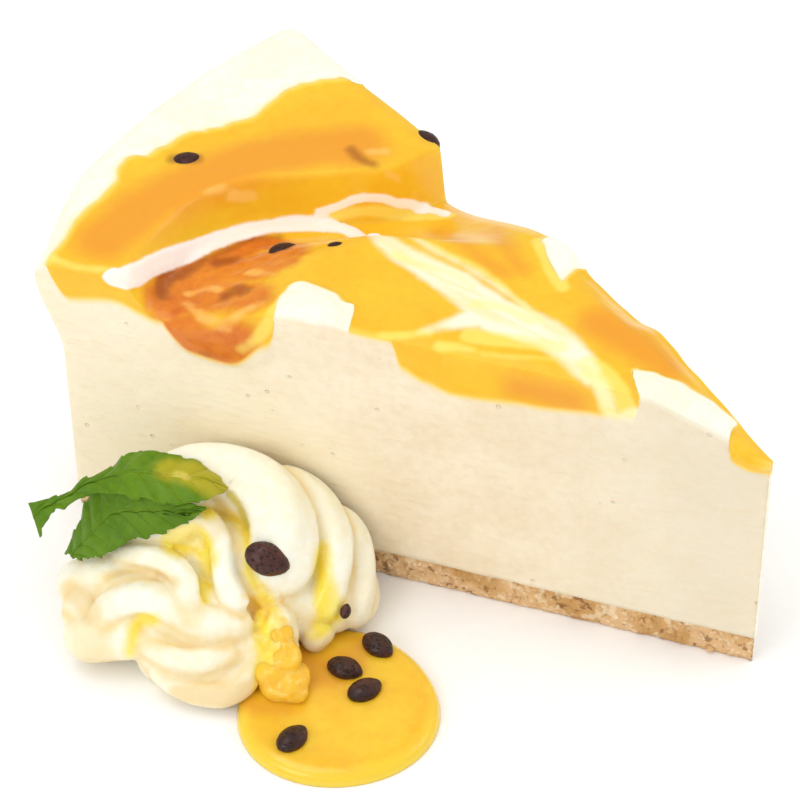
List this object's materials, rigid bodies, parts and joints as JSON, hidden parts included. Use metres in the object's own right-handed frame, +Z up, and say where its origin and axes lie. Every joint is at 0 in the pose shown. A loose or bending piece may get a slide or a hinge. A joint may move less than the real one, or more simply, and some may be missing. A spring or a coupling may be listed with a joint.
{
  "type": "cheesecake slice with whipped cream",
  "caption": "Wedge of cheesecake on a biscuit base, its stepped top marbled with seeded fruit glaze, beside piped whipped cream, mint leaves and a pool of fruit sauce.",
  "frame": {"origin": "on the underside of the slice, on its middle line, about at the centroid of its sector", "axes": "+X towards the slice's tip, +Z up, -Y towards the whipped cream and the sauce"},
  "size_m": [0.1215, 0.0988, 0.0538],
  "materials": {
    "filling": "soft matt cream cheese with fine pores",
    "fruit_glaze": "glossy translucent fruit glaze marbled with cream",
    "crumb_base": "pressed biscuit crumbs",
    "sauce": "glossy fruit sauce",
    "whipped_cream": "soft satin whipped cream",
    "mint": "fresh leaf, slightly waxy"
  },
  "bodies": {
    "root": {"filling": "filling", "fruit_glaze": "fruit_glaze", "crumb_base": "crumb_base", "sauce_pool": "sauce", "whipped_cream": "whipped_cream", "mint_leaf_upper": "mint", "mint_leaf_lower": "mint"}
  },
  "joints": []
}
